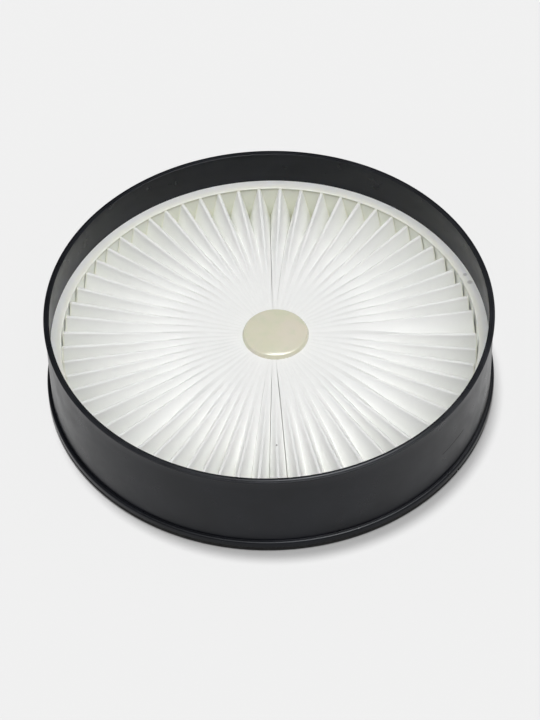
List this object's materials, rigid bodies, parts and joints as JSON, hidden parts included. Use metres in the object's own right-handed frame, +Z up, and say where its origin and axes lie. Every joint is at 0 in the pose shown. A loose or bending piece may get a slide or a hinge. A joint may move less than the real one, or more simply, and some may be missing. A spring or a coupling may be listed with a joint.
{
  "type": "pleated vacuum filter",
  "caption": "Round cassette filter for a vacuum cleaner: a radial rosette of pleated media potted into a thin black frame with a beaded rim, foot flange and sealing strip.",
  "frame": {"origin": "on the frame's axis, on the plane that the sealing strip stands on", "axes": "+Z up the frame's axis, from the foot flange to the rim; +X to the right in the picture's view"},
  "size_m": [0.1354, 0.1354, 0.0303],
  "materials": {
    "frame_plastic": "satin black moulded plastic",
    "seal_foam": "fine closed-cell foam rubber",
    "potting_resin": "satin cream cast resin",
    "filter_media": "white fibrous filter paper",
    "hot_melt": "waxy beige hot-melt adhesive"
  },
  "bodies": {
    "root": {"frame_ring": "frame_plastic", "seal_ring": "seal_foam", "potting_ring": "potting_resin", "pleated_media": "filter_media", "centre_plug": "hot_melt"}
  },
  "joints": []
}
